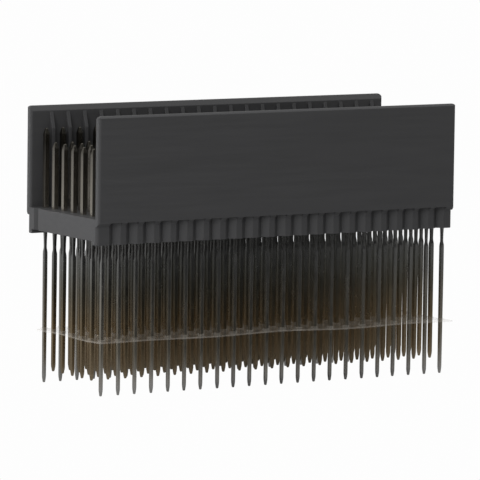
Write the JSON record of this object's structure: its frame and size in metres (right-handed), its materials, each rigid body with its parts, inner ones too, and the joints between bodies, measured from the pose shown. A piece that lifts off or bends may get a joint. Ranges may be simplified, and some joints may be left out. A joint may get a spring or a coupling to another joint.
{
  "type": "shrouded backplane pin header",
  "caption": "Backplane header: a black moulded channel with open ends and a grid of square contacts that rise between its walls and leave its underside as long, thin tails through a clear film.",
  "frame": {"origin": "On the board surface that the housing's skirts stand on, under the middle of the housing.", "axes": "+X runs along the rows of contacts, towards the end with the narrower margin. +Y runs across the rows. +Z leaves the board towards the mating side, and the tails point to -Z."},
  "size_m": [0.0447, 0.0154, 0.0291],
  "materials": {
    "housing": "fine matt moulded surface",
    "contact_metal": "dull plated strip, slightly brown",
    "film": "clear thin sheet"
  },
  "bodies": {
    "root": {"housing": "housing", "shield_contacts_front": "contact_metal", "shield_contacts_back": "contact_metal", "guard_film": "film", "signal_contacts_01": "contact_metal", "signal_contacts_02": "contact_metal", "signal_contacts_03": "contact_metal", "signal_contacts_04": "contact_metal", "signal_contacts_05": "contact_metal", "signal_contacts_06": "contact_metal", "signal_contacts_07": "contact_metal", "signal_contacts_08": "contact_metal", "signal_contacts_09": "contact_metal", "signal_contacts_10": "contact_metal", "signal_contacts_11": "contact_metal", "signal_contacts_12": "contact_metal", "signal_contacts_13": "contact_metal", "signal_contacts_14": "contact_metal", "signal_contacts_15": "contact_metal", "signal_contacts_16": "contact_metal", "signal_contacts_17": "contact_metal", "signal_contacts_18": "contact_metal", "signal_contacts_19": "contact_metal", "signal_contacts_20": "contact_metal", "signal_contacts_21": "contact_metal", "signal_contacts_22": "contact_metal"}
  },
  "joints": []
}
